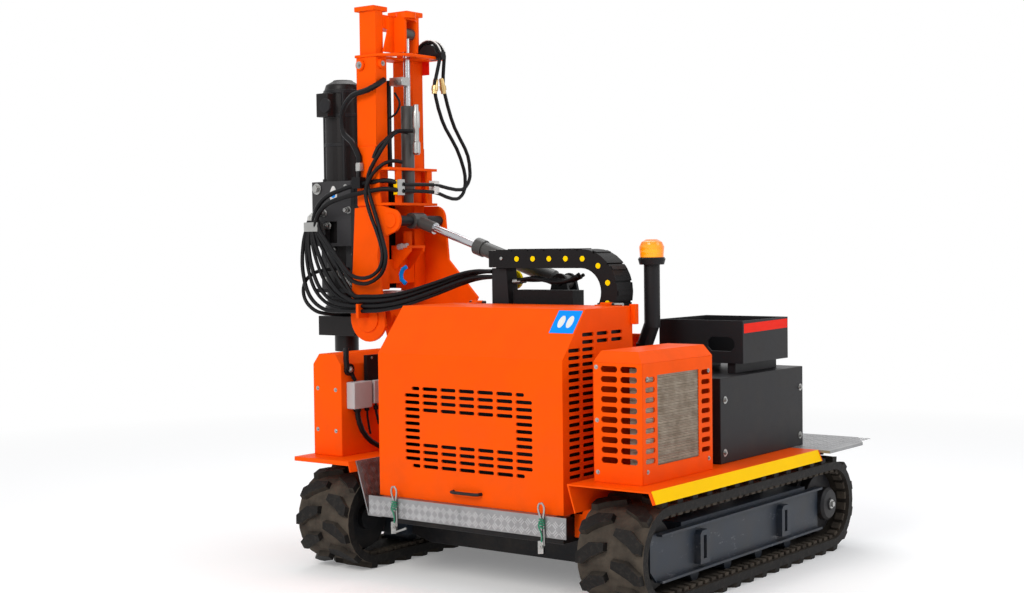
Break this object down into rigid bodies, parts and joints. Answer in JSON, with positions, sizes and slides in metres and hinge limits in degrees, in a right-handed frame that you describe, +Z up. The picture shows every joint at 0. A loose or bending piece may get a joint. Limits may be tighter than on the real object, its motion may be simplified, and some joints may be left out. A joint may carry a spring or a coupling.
{
  "type": "tracked drilling rig",
  "caption": "Tracked side-working drilling rig with slotted orange hood, sliding beam, tilting two-stage mast and hydraulic hammer.",
  "frame": {"origin": "On the ground, under the middle of the machine's outline box measured without its free hoses.", "axes": "+X to the machine's right, away from the mast; +Y from the hood's face to the rear along the tracks; +Z up."},
  "size_m": [2.6161, 2.01, 2.656],
  "materials": {
    "orange_paint": "gloss",
    "graphite_paint": "satin",
    "frame_paint": "satin",
    "track_rubber": "matte",
    "tread_aluminium": "brushed",
    "rod_chrome": "polished",
    "cylinder_paint": "satin",
    "beacon_amber": "gloss",
    "radiator_core": "satin",
    "hose_rubber": "satin",
    "chain_plastic": "matte"
  },
  "bodies": {
    "root": {"beacon_lens": "beacon_amber", "beacon_post": "graphite_paint", "bulkhead": "graphite_paint", "chain_shelf": "graphite_paint", "chassis": "graphite_paint", "drive_wheel_left": "graphite_paint", "drive_wheel_right": "graphite_paint", "engine_block": "graphite_paint", "fender_left": "orange_paint", "fender_right": "orange_paint", "front_bumper": "tread_aluminium", "idler_left": "graphite_paint", "idler_right": "graphite_paint", "junction_boxes": "cylinder_paint", "oil_tank": "graphite_paint", "platform_bracket": "graphite_paint", "radiator_core": "radiator_core", "radiator_grille": "orange_paint", "radiator_housing": "orange_paint", "radiator_side": "orange_paint", "rear_cabinet": "orange_paint", "rear_platform": "tread_aluminium", "side_box": "orange_paint", "slide_guide": "orange_paint", "tool_tray": "graphite_paint", "track_frame_left": "frame_paint", "track_frame_right": "frame_paint", "track_left": "track_rubber", "track_right": "track_rubber", "tread_plate_left": "tread_aluminium"},
    "hood_lid": {"hood": "orange_paint"},
    "side_shift": {"slide_beam": "orange_paint", "tilt_anchor": "graphite_paint", "chain_bracket": "graphite_paint", "hose_bundle_low": "hose_rubber"},
    "cable_chain": {"cable_chain": "chain_plastic"},
    "mast": {"mast_post_near": "orange_paint", "mast_post_far": "orange_paint", "mast_collar": "orange_paint", "hose_wheel": "graphite_paint", "mast_shelves": "orange_paint", "mast_plate_near": "orange_paint", "mast_plate_far": "orange_paint", "mast_tie": "orange_paint", "tilt_pin_near": "graphite_paint", "tilt_pin_far": "graphite_paint", "pivot_pin": "graphite_paint", "lift_barrel": "cylinder_paint"},
    "mast_extension": {"inner_post_near": "orange_paint", "inner_post_far": "orange_paint", "inner_crosshead": "orange_paint", "lift_rod": "rod_chrome"},
    "hammer": {"hammer_carriage": "graphite_paint", "hammer_clamp": "graphite_paint", "hammer_cylinder": "graphite_paint", "hammer_chuck": "graphite_paint", "hose_bundle_hammer": "hose_rubber"},
    "tilt_barrel": {"tilt_barrel": "cylinder_paint"},
    "tilt_rod": {"tilt_rod": "rod_chrome"}
  },
  "joints": [
    {"name": "hood_lid", "type": "hinge", "parent": "root", "child": "hood_lid", "pos_m": [0.26, -0.359, 1.201], "axis": [-1, 0, 0], "range_deg": [0, 60]},
    {"name": "side_shift", "type": "slide", "parent": "root", "child": "side_shift", "axis": [1, 0, 0], "range_m": [0, 0.2]},
    {"name": "chain_travel", "type": "slide", "parent": "root", "child": "cable_chain", "axis": [1, 0, 0], "range_m": [0, 0.1]},
    {"name": "mast_tilt", "type": "hinge", "parent": "side_shift", "child": "mast", "pos_m": [-0.84, -0.11, 1.11], "axis": [0, 1, 0], "range_deg": [-10, 15]},
    {"name": "tilt_barrel_swing", "type": "hinge", "parent": "side_shift", "child": "tilt_barrel", "pos_m": [0.22, -0.11, 1.29], "axis": [0, 1, 0], "range_deg": [-1, 1]},
    {"name": "tilt_rod_stroke", "type": "slide", "parent": "tilt_barrel", "child": "tilt_rod", "axis": [-0.9483, 0, 0.3175], "range_m": [-0.135, 0.095]},
    {"name": "mast_lift", "type": "slide", "parent": "mast", "child": "mast_extension", "axis": [0, 0, 1], "range_m": [-0.12, 0.28]},
    {"name": "hammer_lift", "type": "slide", "parent": "mast", "child": "hammer", "axis": [0, 0, 1], "range_m": [-0.24, 0.56]}
  ],
  "couplings": [
    {"joint": "chain_travel", "follows": "side_shift", "ratio": 0.5},
    {"joint": "tilt_barrel_swing", "follows": "mast_tilt", "ratio": -0.03},
    {"joint": "tilt_rod_stroke", "follows": "mast_tilt", "m_per_rad": -0.503},
    {"joint": "hammer_lift", "follows": "mast_lift", "ratio": 2}
  ]
}
